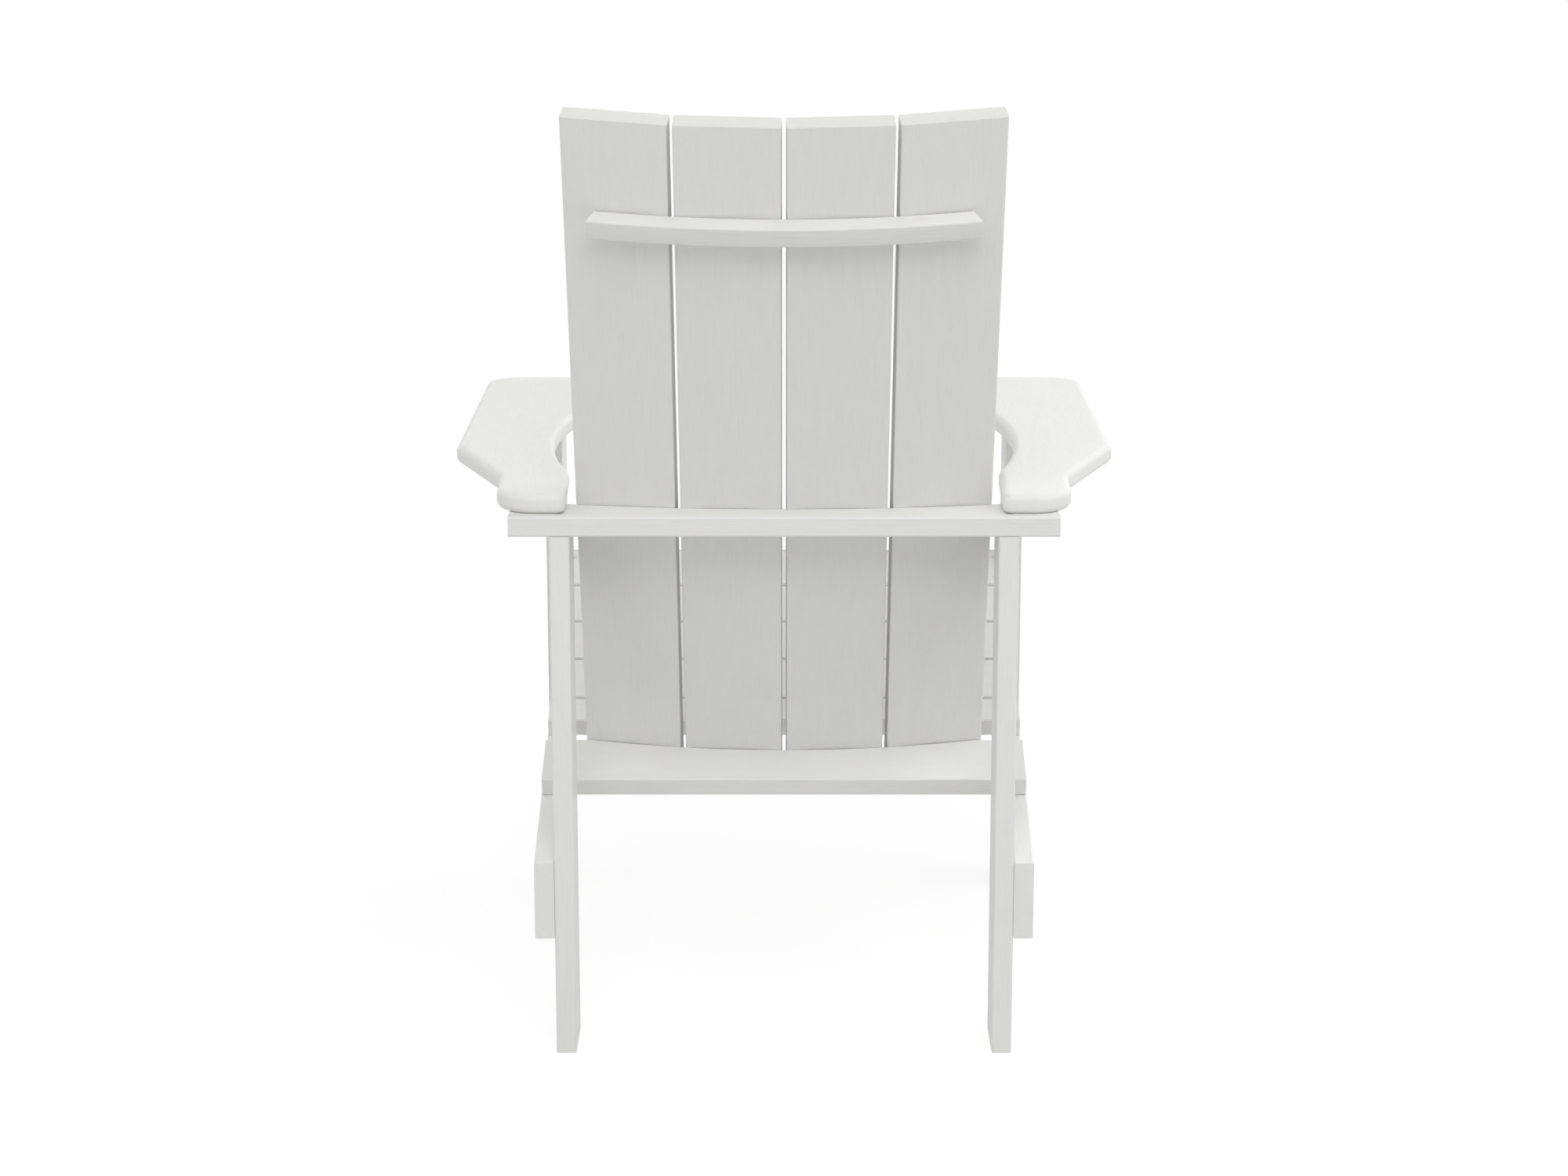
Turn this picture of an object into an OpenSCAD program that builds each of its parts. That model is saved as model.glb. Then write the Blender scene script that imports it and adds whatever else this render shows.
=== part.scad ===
// Modern Adirondack chair in plastic lumber.
// Flat boards with eased edges make a sloping seat on two stringers, four straight legs
// and a reclined back of four slats set on an arc. Wide arms with pillowed edges and a
// scooped inner edge lie on the front legs and on a rail behind the back.
//
// Finished frame: the chair faces -Y, +Z is up, and the origin is on the floor under the
// middle of the whole chair. Pieces are drawn in a working frame: x to the sitter's right,
// y forward from the rear faces of the rear legs, z up from the floor. Millimetres, degrees.

/* [Boards] */
// Thickness of every board
board_t = 20; // [17:0.5:23]
// Width of the boards for legs, stringers, rails and seat
board_w = 76; // [68:1:84]
// Radius of the eased long edges
edge_r = 2; // [1:0.25:4]

/* [Seat] */
// Width over the two stringers
seat_width = 503; // [460:1:560]
// Slope of the seat, rising to the front
seat_pitch = 17; // [12:0.5:20]
// Height of the stringers' top edge at the rear
seat_rear_h = 202; // [180:1:230]
// Gap between two seat slats
seat_gap = 4; // [3:0.5:8]
// Width of the short rearmost seat slat
rear_slat_w = 43; // [34:1:60]
// Gap along the slope between the rearmost seat slat and the outer back slats
seat_back_gap = 18; // [8:1:30]
// Slope of the nose slat, falling to the front
nose_drop = 28; // [20:1:35]
// Distance from the crest of the seat forward to the front face of the legs
nose_run = 43; // [38:1:52]
// Clearance at each end of a seat slat
end_clear = 1; // [0.5:0.25:2]

/* [Back] */
// Angle of the back from upright
recline = 24; // [20:0.5:28]
// Radius of the arc that the slats stand on
back_r = 1050; // [850:10:1500]
// Clearance between the outer back slats and the rear legs
back_clear = 3.8; // [2:0.1:12]
// Gap between two back slats
slat_gap = 5.4; // [3:0.1:8]
// Length of the slats above the arm rail
back_rise = 431; // [360:1:480]
// Distance from the slat tops down to the upper brace
brace_drop = 96; // [60:1:140]
// Height of the upper brace along the slats
brace_h = 20; // [16:1:26]
// Depth of the upper brace behind the slats
brace_depth = 20; // [19:1:28]
// How far the outer slats reach past the ends of the upper brace
brace_short = 30; // [10:1:38]
// How far the ends of the upper brace spread to the rear, in degrees
brace_splay = 12; // [0:1:20]

/* [Legs and arms] */
// Height of the arms' top face
arm_h = 578; // [545:1:610]
// Depth of the arm rail at the middle, behind the back
rail_web = 38; // [32:1:44]
// Width of an arm
arm_w = 127; // [116:1:136]
// How far an arm reaches inside the seat's outer line
arm_inset = 32.5; // [28:0.5:36]
// How far an arm reaches ahead of its front leg
arm_reach = 83; // [50:1:100]
// Distance from the arm rail's rear edge to the arm's rear edge
arm_back = 12.5; // [6:0.5:18]
// Width of the narrow rear end of an arm
arm_neck_w = 69; // [64:0.5:78]
// Length of the narrow rear end of an arm
arm_neck_len = 106; // [90:1:130]
// Length along which an arm widens to its full width
arm_flare_len = 154; // [120:1:190]
// Depth of the scoop in the arm's inner edge
scoop_depth = 24; // [12:1:32]
// Length of the scoop
scoop_len = 364; // [300:1:400]
// Distance from the arm's rear edge to the start of the scoop
scoop_start = 128; // [100:1:150]
// Radius of the pillowed edge of an arm
pillow_r = 7; // [4:0.5:8]
// Radius of an arm's front corners
arm_front_r = 35; // [20:1:45]
// Radius of an arm's rear outer corner
arm_rear_r = 42; // [25:1:48]
// Radius of an arm's rear inner corner, and of the bend before the flare
arm_corner_r = 10; // [9:0.5:14]
// Radius of the bend at the widest point of an arm
arm_bend_r = 15; // [10:1:30]
// How far the narrow end's two edges lean outwards to the front
arm_neck_lean = 4; // [0:0.5:6]
// Radius that blends each end of the scoop into the inner edge
scoop_blend_r = 60; // [30:5:90]

/* [Arm brackets] */
// How far a bracket reaches outside its front leg
bracket_w = 60; // [50:1:68]
// Height of a bracket
bracket_h = 96; // [84:1:120]
// Height of a bracket's outer end
bracket_nib = 13; // [8:1:20]
// Width of a bracket's lower end
bracket_foot = 14; // [10:1:22]

/* [Screws] */
// Shank diameter
screw_d = 4.5; // [4:0.25:5]
// Head diameter
head_d = 9; // [8:0.25:10]
// Length of the screws
screw_len = 38; // [36:0.5:38.5]
// Length of the screws that hold the arms
arm_screw_len = 34; // [30:0.5:36]
// Radial clearance of a screw in its hole
screw_clear = 0.15; // [0.1:0.05:0.25]

/* [Hidden] */

BOARD_COLOR = "whitesmoke";
SCREW_COLOR = "gainsboro";
SLATS = 4;          // back slats
SEAT_SLATS = 5;     // seat slats behind the nose slat
SIDES = [-1, 1];    // left, right of the sitter
ROUND = 64;         // facets of a small circle
ARC_ROUND = 720;    // facets of the back's large circle
CUT = 1;            // how far a cutting tool runs past what it cuts
FAR = 400;          // longer than any cut is deep

// --- heights and places, in the working frame -------------------------------------------
arm_under = arm_h - board_t;              // top of the front legs and of the arm rail
rail_under = arm_under - board_t;         // top of the rear legs
seat_half = seat_width / 2;               // outer faces of the stringers
stringer_in = seat_half - board_t;        // inner faces of the stringers
stringer_mid = seat_half - board_t / 2;
slat_len = seat_width - 2 * end_clear;    // seat slats, lower rail and apron
front_leg_out = seat_half + board_t;      // outer faces of the front legs
function stringer_top_z(y) = seat_rear_h + y * tan(seat_pitch);

// --- the back's frame: z runs up the slats, y points out of their front faces -------------
outer_angle = asin((stringer_in - board_t - back_clear) / back_r);
gap_angle = 2 * asin(slat_gap / 2 / back_r);
slat_angle = (2 * outer_angle - (SLATS - 1) * gap_angle) / SLATS;
slat_step = slat_angle + gap_angle;
slat_w = 2 * back_r * sin(slat_angle / 2);
slat_face_r = back_r * cos(slat_angle / 2);              // a flat slat is a chord of the arc
outer_n = back_r * (1 - cos(outer_angle));               // rise of the arc at the outer edge
// The rails' middle planes where they meet the back's frame, square to each rail
arm_rail_mid = -board_t / 2;
lower_rail_mid = board_t / 2 + rail_web * sin(seat_pitch)
    - (arm_under - seat_rear_h) * cos(seat_pitch);
// Height on the slats, below the arm rail's top, where they pass the top of the lower rail
rail_u = (lower_rail_mid + board_t / 2 - outer_n * sin(recline - seat_pitch))
    / cos(recline - seat_pitch);
slat_foot = rail_u - board_t / cos(recline - seat_pitch);
brace_u = back_rise - brace_drop - brace_h;              // underside of the upper brace
brace_half = asin((back_r * sin(outer_angle) - brace_short) / back_r);
// Front edge of the lower rail, where its top meets the outer slats, along the slope
rail_front_y = rail_web + outer_n * cos(recline) - rail_u * sin(recline);
rail_front_z = arm_under + outer_n * sin(recline) + rail_u * cos(recline);
rail_front_v = rail_front_y * cos(seat_pitch) + (rail_front_z - seat_rear_h) * sin(seat_pitch);
rail_rear_v = rail_front_v - board_w;

// --- the seat's frame: y runs up the slope from the stringers' rear ends, z stands square ---
// The seat slats are laid forward from the back, and the last one ends at the crest.
mitre = (seat_pitch + nose_drop) / 2;     // half of the turn at the crest
back_front_v = rail_front_v + board_t / cos(recline - seat_pitch);
slat_front_v = back_front_v + seat_back_gap + rear_slat_w + (SEAT_SLATS - 1) * (board_w + seat_gap);
crest_v = slat_front_v - board_t * tan(mitre) + seat_gap / 2 / cos(mitre);
function seat_slat_w(i) = i < SEAT_SLATS ? board_w : rear_slat_w;
function seat_slat_v(i) = slat_front_v - (i - 1) * (board_w + seat_gap) - seat_slat_w(i);

// --- the front: the stringers' top edge turns down at the crest ------------------------------
crest_y = crest_v * cos(seat_pitch);
leg_span = crest_y + nose_run;            // front faces of the front legs and of the apron
front_leg_y = leg_span - board_w;         // rear faces of the front legs
stringer_front = leg_span - board_t;      // the apron covers the stringers' front ends
stringer_len = leg_span / cos(seat_pitch) + board_w;

// --- the whole chair's middle, front to back -----------------------------------------------
rearmost_y = rail_web - back_rise * sin(recline);
frontmost_y = leg_span + arm_reach;
middle_y = (rearmost_y + frontmost_y) / 2;

// --- screws ----------------------------------------------------------------------------------
head_h = (head_d - screw_d) / 2;          // a 90 degree countersunk head
head_sink = 0.3;                          // heads lie just under the face
bite = screw_len - board_t;               // what goes into the second board
slat_screw_x = 32;                        // screws from the middle of a back slat
seat_screw_v = 22;                        // screws from the middle of a seat slat
leg_screw_rise = 14;                      // leg screws above and below their middle
front_screw_in = [12, 27];                // rows of screws from a front leg's rear face
rear_screw_in = [18, 58];                 // rows of screws from a rear leg's rear face
front_screw_drop = 44;                    // their middle, under the stringers' top edge
apron_screw_drop = 55;                    // the same for the apron's screws
apron_screw_rise = 12;                    // apron screws above and below their middle
rail_screw_in = [18, 42];                 // rows of screws from the arm rail's rear edge
nose_screw_in = 12.5;                     // from the crest to the nose slat's end screws
pocket_tilt = 25;                         // pocket screws lean out this much
pocket_depth = 24;                        // their start, under the stringers' top edge
pocket_head = 8;                          // head's depth in its pocket
pocket_step = 20;                         // pocket screws from the middle of the lower rail
pocket_d = head_d + 1;
pocket_slot = board_w / 3;                // length of the slot that a pocket screw goes in through
bracket_screw_share = 0.55;               // its screw into the arm: share of a bracket's width
bracket_screw_x = front_leg_out + bracket_w * bracket_screw_share;
bracket_screw_at = [0.3, 0.78];           // shares of a bracket's height, from its top

// ============================== helpers =====================================================

// From the working frame to the finished one.
module placed() {
    translate([0, middle_y, 0])
        rotate([0, 0, 180])
            children();
}

module on_seat() {
    translate([0, 0, seat_rear_h])
        rotate([seat_pitch, 0, 0])
            children();
}

module on_nose() {
    translate([0, crest_y, stringer_top_z(crest_y)])
        rotate([-nose_drop, 0, 0])
            children();
}

module on_back() {
    translate([0, rail_web, arm_under])
        rotate([recline, 0, 0])
            children();
}

// On the flat rear face of back slat i, at its middle line.
module on_slat(i) {
    translate([0, back_r, 0])
        rotate([0, 0, slat_turn(i)])
            translate([0, -slat_face_r, 0])
                children();
}

// Section of a board with eased edges: w along x, t along y, centred.
module board_section(w, t) {
    square([w - 2 * edge_r, t], center = true);
    square([w, t - 2 * edge_r], center = true);
    for (sx = [-1, 1], sy = [-1, 1])
        translate([sx * (w / 2 - edge_r), sy * (t / 2 - edge_r)])
            circle(edge_r, $fn = ROUND);
}

// A board along x: centred on x, y from 0 to w, z from 0 to t.
module board_x(len, w, t = board_t) {
    translate([-len / 2, w / 2, t / 2])
        rotate([90, 0, 90])
            linear_extrude(len)
                board_section(w, t);
}

// A board along y from y0 to y1: centred on x = 0 by its thickness, z from -w to 0.
module board_y(y0, y1, w) {
    translate([0, y1, -w / 2])
        rotate([90, 90, 0])
            linear_extrude(y1 - y0)
                board_section(w, board_t);
}

// An upright board: x centred on its thickness, y from 0 to w, z from 0 to h.
module board_z(h, w) {
    translate([0, w / 2, 0])
        rotate([0, 0, 90])
            linear_extrude(h)
                board_section(w, board_t);
}

// Everything in front of the slats' rear faces.
module back_cylinder() {
    on_back()
        translate([0, back_r, rail_u - FAR / 2])
            cylinder(r = back_r, h = back_rise - rail_u + FAR, $fn = ARC_ROUND);
}

// A countersunk screw that points down, its head's top face at z = -head_sink.
module screw(len = screw_len, grow = 0) {
    r = screw_d / 2 + grow;
    tip = screw_d;
    translate([0, 0, -head_sink]) {
        translate([0, 0, -head_h])
            cylinder(r1 = r, r2 = r + head_h, h = head_h, $fn = ROUND);
        translate([0, 0, tip - len])
            cylinder(r = r, h = len - tip - head_h, $fn = ROUND);
        translate([0, 0, -len - grow])
            cylinder(r1 = grow, r2 = r, h = tip + grow, $fn = ROUND);
    }
}

// The hole that a screw sits in, open above its head.
module screw_hole(len = screw_len, open = CUT) {
    screw(len, screw_clear);
    translate([0, 0, -head_sink])
        cylinder(r = head_d / 2 + screw_clear, h = head_sink + open, $fn = ROUND);
}

// ============================== places of the screws =======================================

// Through back slat i into what lies behind it, at each [x, height] on the slat.
module slat_screw_places(i, places) {
    on_back()
        on_slat(i)
            for (at = places)
                translate([at[0], board_t, at[1]])
                    rotate([-90, 0, 0])
                        children();
}

// The upper brace stops short of the outer slats' outer edges, and so do its screws.
module brace_screw_places(i) {
    low = i == 1 ? brace_short : 0;
    high = i == SLATS ? brace_short : 0;
    slat_screw_places(i, [for (x = [low - slat_screw_x, slat_screw_x - high])
        [x, brace_u + brace_h / 2]])
        children();
}

// Places on slat i whose screws bite in the middle of a rail, which leans tilt from square
// to the slats and has its middle plane at mid.
function slat_turn(i) = (i - (SLATS + 1) / 2) * slat_step;
function bite_n(i, x) =
    back_r - (slat_face_r + bite / 2) * cos(slat_turn(i)) + x * sin(slat_turn(i));
function rail_places(i, mid, tilt) =
    [for (x = [-slat_screw_x, slat_screw_x]) [x, (mid - bite_n(i, x) * sin(tilt)) / cos(tilt)]];

module arm_rail_screw_places(i) {
    slat_screw_places(i, rail_places(i, arm_rail_mid, recline))
        children();
}

module lower_rail_screw_places(i) {
    slat_screw_places(i, rail_places(i, lower_rail_mid, recline - seat_pitch))
        children();
}

// Through seat slat i into both stringers.
module seat_screw_places(i) {
    w = seat_slat_w(i);
    rows = w > 2 * seat_screw_v + head_d ? [-seat_screw_v, seat_screw_v] : [0];
    on_seat()
        for (side = SIDES, row = rows)
            translate([side * stringer_mid, seat_slat_v(i) + w / 2 + row, board_t])
                children();
}

// Through the nose slat into the stringers and the apron's top edge.
module nose_screw_places() {
    apron_mid = (nose_run - board_t / 2) / cos(nose_drop);
    on_nose() {
        for (side = SIDES)
            translate([side * stringer_mid, nose_screw_in, board_t])
                children();
        for (x = [-1, 0, 1])
            translate([x * seat_half / 2, apron_mid + board_t / 2 * tan(nose_drop), board_t])
                children();
    }
}

// Through the apron into the stringers' front ends.
module apron_screw_places() {
    middle_z = stringer_top_z(stringer_front) - apron_screw_drop;
    for (side = SIDES, rise = [-apron_screw_rise, apron_screw_rise])
        translate([side * stringer_mid, leg_span, middle_z + rise])
            rotate([-90, 0, 0])
                children();
}

// Through the front legs into the stringers.
module front_leg_screw_places() {
    for (side = SIDES, y = front_screw_in, rise = [-leg_screw_rise, leg_screw_rise]) {
        leg_y = front_leg_y + y;
        z = stringer_top_z(leg_y) - front_screw_drop + rise;
        translate([side * front_leg_out, leg_y, z])
            rotate([0, side * 90, 0])
                children();
    }
}

// Through the stringers into the rear legs.
module rear_leg_screw_places() {
    for (side = SIDES, y = rear_screw_in, rise = [-leg_screw_rise, leg_screw_rise]) {
        z = stringer_top_z(y) - board_w / 2 / cos(seat_pitch) + rise;
        translate([side * seat_half, y, z])
            rotate([0, side * 90, 0])
                children();
    }
}

// Down through the arm rail into the rear legs' ends, under the arms.
module rail_end_screw_places() {
    for (side = SIDES, y = rail_screw_in)
        translate([side * (stringer_in - board_t / 2), y, arm_under])
            children();
}

// Up through the arm rail's ends, and up from the brackets' slots, into the arms.
module arm_screw_places() {
    for (side = SIDES) {
        for (y = rail_screw_in)
            translate([side * stringer_mid, arm_back / 2 + y, rail_under])
                rotate([180, 0, 0])
                    children();
        translate([side * bracket_screw_x, front_leg_y + board_w / 2, rail_under])
            rotate([180, 0, 0])
                children();
    }
}

// From inside the front legs into the brackets.
module bracket_screw_places() {
    for (side = SIDES, share = bracket_screw_at)
        translate([side * seat_half, front_leg_y + board_w / 2, arm_under - bracket_h * share])
            rotate([0, -side * 90, 0])
                children();
}

// From pockets inside the stringers up into the lower rail.
module pocket_screw_places() {
    on_seat()
        for (side = SIDES, v = [-pocket_step, pocket_step])
            translate([side * stringer_in, rail_rear_v + board_w / 2 + v, -pocket_depth])
                rotate([0, side * (180 - pocket_tilt), 0])
                    translate([0, 0, -pocket_head])
                        children();
}

// ============================== pieces =======================================================

module back_slat(i) {
    color(BOARD_COLOR)
        difference() {
            on_back()
                on_slat(i)
                    translate([0, board_t / 2, slat_foot])
                        linear_extrude(back_rise - slat_foot)
                            board_section(slat_w, board_t);
            brace_screw_places(i) screw_hole();
            arm_rail_screw_places(i) screw_hole();
            lower_rail_screw_places(i) screw_hole();
        }
}

// A bar bent to the slats' arc. Its ends are cut so that they spread to the rear.
module upper_back_brace() {
    spare = 2;    // degrees past each end, cut away
    color(BOARD_COLOR)
        difference() {
            on_back()
                translate([0, back_r, brace_u + brace_h / 2])
                    rotate([0, 0, -90 - brace_half - spare])
                        rotate_extrude(angle = 2 * (brace_half + spare), $fn = ARC_ROUND)
                            translate([back_r + brace_depth / 2, 0])
                                board_section(brace_depth, brace_h);
            on_back()
                for (side = SIDES)
                    translate([0, back_r, brace_u])
                        rotate([0, 0, side * brace_half])
                            translate([0, -back_r, 0])
                                rotate([0, 0, -side * brace_splay])
                                    translate([side * FAR / 2, 0, brace_h / 2])
                                        cube([FAR, FAR, brace_h + 2 * CUT], center = true);
            for (i = [1 : SLATS])
                brace_screw_places(i) screw_hole();
        }
}

// Lies on the rear legs. Its front edge is cut to the slats' arc and recline.
module arm_rail() {
    color(BOARD_COLOR)
        difference() {
            translate([0, 0, rail_under])
                board_x(2 * front_leg_out, board_w);
            back_cylinder();
            for (i = [1 : SLATS])
                arm_rail_screw_places(i) screw_hole();
            rail_end_screw_places() screw_hole();
            arm_screw_places() screw_hole(arm_screw_len);
        }
}

// Lies across the stringers, its front edge cut to the slats' arc and recline.
module lower_back_rail() {
    color(BOARD_COLOR)
        difference() {
            on_seat()
                translate([0, rail_rear_v, 0])
                    board_x(slat_len, board_w);
            back_cylinder();
            for (i = [1 : SLATS])
                lower_rail_screw_places(i) screw_hole();
            pocket_screw_places() screw_hole();
        }
}

// A sloping side board. Its rear end is cut upright and flush with the rear leg, its front
// end upright behind the apron, and its top edge turns down at the crest for the nose slat.
module stringer(side) {
    color(BOARD_COLOR)
        difference() {
            on_seat()
                translate([side * stringer_mid, 0, 0])
                    board_y(-board_w, stringer_len, board_w);
            translate([side * stringer_mid, -FAR / 2, seat_rear_h])
                cube([2 * board_t, FAR, 2 * FAR], center = true);
            translate([side * stringer_mid, stringer_front + FAR / 2, seat_rear_h])
                cube([2 * board_t, FAR, 3 * FAR], center = true);
            on_nose()
                translate([side * stringer_mid, 0, FAR / 2])
                    cube([2 * board_t, FAR, FAR], center = true);
            for (i = [1 : SEAT_SLATS])
                seat_screw_places(i) screw_hole();
            nose_screw_places() screw_hole();
            apron_screw_places() screw_hole();
            front_leg_screw_places() screw_hole();
            rear_leg_screw_places() screw_hole();
            pocket_screw_places() {
                screw_hole();
                cylinder(d = pocket_d, h = pocket_slot, $fn = ROUND);
            }
        }
}

module rear_leg(side) {
    color(BOARD_COLOR)
        difference() {
            translate([side * (stringer_in - board_t / 2), 0, 0])
                board_z(rail_under, board_w);
            rear_leg_screw_places() screw_hole();
            rail_end_screw_places() screw_hole();
        }
}

module front_leg(side) {
    color(BOARD_COLOR)
        difference() {
            translate([side * stringer_mid + side * board_t, front_leg_y, 0])
                board_z(arm_under, board_w);
            front_leg_screw_places() screw_hole();
            bracket_screw_places() screw_hole();
        }
}

// --- arms ------------------------------------------------------------------------------------

// A rounded corner [x, y, radius] of a closed outline, between the corners before and after
// it: [centre, radius, turn, heading in]. A left turn is positive.
function turn(a, b) = let (t = b - a) t > 180 ? t - 360 : t < -180 ? t + 360 : t;
function heading(p, q) = atan2(q.y - p.y, q.x - p.x);
function corner(before, at, after) =
    let (
        h = heading(before, at),
        bend = turn(h, heading(at, after)),
        set_back = at[2] * tan(abs(bend) / 2),
        reach = sign(bend) * at[2],
        centre = [
            at.x - set_back * cos(h) - reach * sin(h),
            at.y - set_back * sin(h) + reach * cos(h)
        ]
    )
    [centre, at[2], bend, h];
function corners(outline) =
    let (n = len(outline))
    [for (i = [0 : n - 1]) corner(outline[(i + n - 1) % n], outline[i], outline[(i + 1) % n])];

// Points along a corner, moved inwards by d, for an outline that runs counter-clockwise.
function inner_points(c, d) =
    let (steps = max(2, ceil(abs(c[2]) / 9)), reach = sign(c[2]) * c[1] - d)
    [for (k = [0 : steps])
        let (a = c[3] + c[2] * k / steps)
        [c[0].x + reach * sin(a), c[0].y - reach * cos(a)]];

// Triangles that fill a loop of points whose first and last lie at its near end: zipped from
// there up both sides, always to the nearer of the two next points.
function zipped(p, i, j) =
    j - i < 2 ? []
    : p[i + 1].y < p[j - 1].y ? concat([[i, i + 1, j]], zipped(p, i + 1, j))
    : concat([[i, j - 1, j]], zipped(p, i, j - 1));

// A plate of thickness t over a rounded outline, its rim a half-pillow of radius r above and
// below: each ring is the outline moved in by r(1 - cos a), r sin a from the rim's middle.
module pillowed_plate(outline, t, r, steps = 5) {
    arcs = corners(outline);
    rim = [for (k = [0 : steps]) 90 * k / steps];
    rings = concat(
        [for (k = [steps : -1 : 0]) [r * (1 - cos(rim[k])), r - r * sin(rim[k])]],
        [for (k = [0 : steps]) [r * (1 - cos(rim[k])), t - r + r * sin(rim[k])]]
    );
    loops = [for (ring = rings)
        [for (c = arcs) each [for (p = inner_points(c, ring[0])) [p.x, p.y, ring[1]]]]];
    n = len(loops[0]);
    last = len(rings) - 1;
    sides = [for (j = [0 : last - 1], i = [0 : n - 1])
        [j * n + i, (j + 1) * n + i, (j + 1) * n + (i + 1) % n, j * n + (i + 1) % n]];
    bottom = zipped(loops[0], 0, n - 1);
    top = [for (f = bottom) last * n * [1, 1, 1] + [f[2], f[1], f[0]]];
    polyhedron([for (loop = loops) each loop], concat(bottom, sides, top), convexity = 6);
}

// Plan of the right arm: narrow over the arm rail, flared to full width, rounded in front,
// with a long shallow scoop in the inner edge.
arm_in = seat_half - arm_inset;
arm_rear_in = arm_in - arm_neck_lean;
scoop_a = 2 * atan(2 * scoop_depth / scoop_len);         // slope of the scoop at its ends
scoop_apex = scoop_len / 2 * tan(scoop_a);               // where its end tangents meet
scoop_blend = scoop_blend_r * tan(scoop_a / 2);          // length that each blend takes
scoop_straight = 3;                                      // left between a blend and the arc
scoop_r = (scoop_len / 2 / cos(scoop_a) - scoop_blend - scoop_straight) / tan(scoop_a);
arm_plan = [
    [arm_rear_in + arm_neck_w, arm_back, arm_rear_r],
    [arm_rear_in + arm_neck_w + arm_neck_lean, arm_back + arm_neck_len, arm_corner_r],
    [arm_in + arm_w, arm_back + arm_neck_len + arm_flare_len, arm_bend_r],
    [arm_in + arm_w, frontmost_y, arm_front_r],
    [arm_in, frontmost_y, arm_front_r],
    [arm_in, arm_back + scoop_start + scoop_len, scoop_blend_r],
    [arm_in + scoop_apex, arm_back + scoop_start + scoop_len / 2, scoop_r],
    [arm_in, arm_back + scoop_start, scoop_blend_r],
    [arm_rear_in, arm_back, arm_corner_r]
];

module arm(side) {
    color(BOARD_COLOR)
        difference() {
            translate([0, 0, arm_under])
                mirror([side < 0 ? 1 : 0, 0, 0])
                    pillowed_plate(arm_plan, board_t, pillow_r);
            arm_screw_places() screw_hole(arm_screw_len);
        }
}

// A gusset outside the front leg, under the arm: upright end, sloping lower edge.
module arm_bracket(side) {
    color(BOARD_COLOR)
        difference() {
            translate([side * front_leg_out, front_leg_y + (board_w + board_t) / 2, arm_under])
                mirror([side < 0 ? 1 : 0, 0, 0])
                    rotate([90, 0, 0])
                        linear_extrude(board_t)
                            polygon([
                                [0, 0], [bracket_w, 0], [bracket_w, -bracket_nib],
                                [bracket_foot, -bracket_h], [0, -bracket_h]
                            ]);
            arm_screw_places() {
                screw_hole(arm_screw_len);
                cylinder(d = pocket_d, h = bracket_h, $fn = ROUND);
            }
            bracket_screw_places() screw_hole();
        }
}

// --- seat ------------------------------------------------------------------------------------

// The front slat's front edge is mitred at the crest.
module seat_slat(i) {
    color(BOARD_COLOR)
        difference() {
            on_seat()
                translate([0, seat_slat_v(i), 0])
                    board_x(slat_len, seat_slat_w(i));
            if (i == 1)
                crest_cut(1);
            seat_screw_places(i) screw_hole();
        }
}

module nose_slat() {
    nose_len = nose_run / cos(nose_drop) + board_t * tan(mitre);
    color(BOARD_COLOR)
        difference() {
            on_nose()
                translate([0, -board_t * tan(mitre), 0])
                    board_x(slat_len, nose_len + board_t * tan(mitre));
            crest_cut(-1);
            nose_screw_places() screw_hole();
        }
}

// Half of the space around the mitre plane at the crest: +1 in front of it, -1 behind it.
module crest_cut(way) {
    translate([0, crest_y, stringer_top_z(crest_y)])
        rotate([seat_pitch - mitre, 0, 0])
            translate([0, way * (FAR / 2 - seat_gap / 2), 0])
                cube([2 * FAR, FAR, FAR], center = true);
}

// An upright board between the front legs. Its top edge is bevelled to carry the nose slat.
module front_apron() {
    apron_top = stringer_top_z(crest_y) - (nose_run - board_t) * tan(nose_drop);
    color(BOARD_COLOR)
        difference() {
            translate([0, leg_span, apron_top - board_w])
                rotate([90, 0, 0])
                    board_x(slat_len, board_w);
            on_nose()
                translate([0, 0, FAR / 2])
                    cube([2 * FAR, FAR, FAR], center = true);
            nose_screw_places() screw_hole();
            apron_screw_places() screw_hole();
        }
}

// --- screws ----------------------------------------------------------------------------------

module brace_screws() {
    color(SCREW_COLOR)
        for (i = [1 : SLATS])
            brace_screw_places(i) screw();
}

module arm_rail_screws() {
    color(SCREW_COLOR)
        for (i = [1 : SLATS])
            arm_rail_screw_places(i) screw();
}

module lower_rail_screws() {
    color(SCREW_COLOR)
        for (i = [1 : SLATS])
            lower_rail_screw_places(i) screw();
}

module seat_screws() {
    color(SCREW_COLOR)
        for (i = [1 : SEAT_SLATS])
            seat_screw_places(i) screw();
}

module nose_screws() {
    color(SCREW_COLOR)
        nose_screw_places() screw();
}

module apron_screws() {
    color(SCREW_COLOR)
        apron_screw_places() screw();
}

module front_leg_screws() {
    color(SCREW_COLOR)
        front_leg_screw_places() screw();
}

module rear_leg_screws() {
    color(SCREW_COLOR)
        rear_leg_screw_places() screw();
}

module rail_end_screws() {
    color(SCREW_COLOR)
        rail_end_screw_places() screw();
}

module arm_screws() {
    color(SCREW_COLOR)
        arm_screw_places() screw(arm_screw_len);
}

module bracket_screws() {
    color(SCREW_COLOR)
        bracket_screw_places() screw();
}

module pocket_screws() {
    color(SCREW_COLOR)
        pocket_screw_places() screw();
}

// ============================== the chair ====================================================

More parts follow.
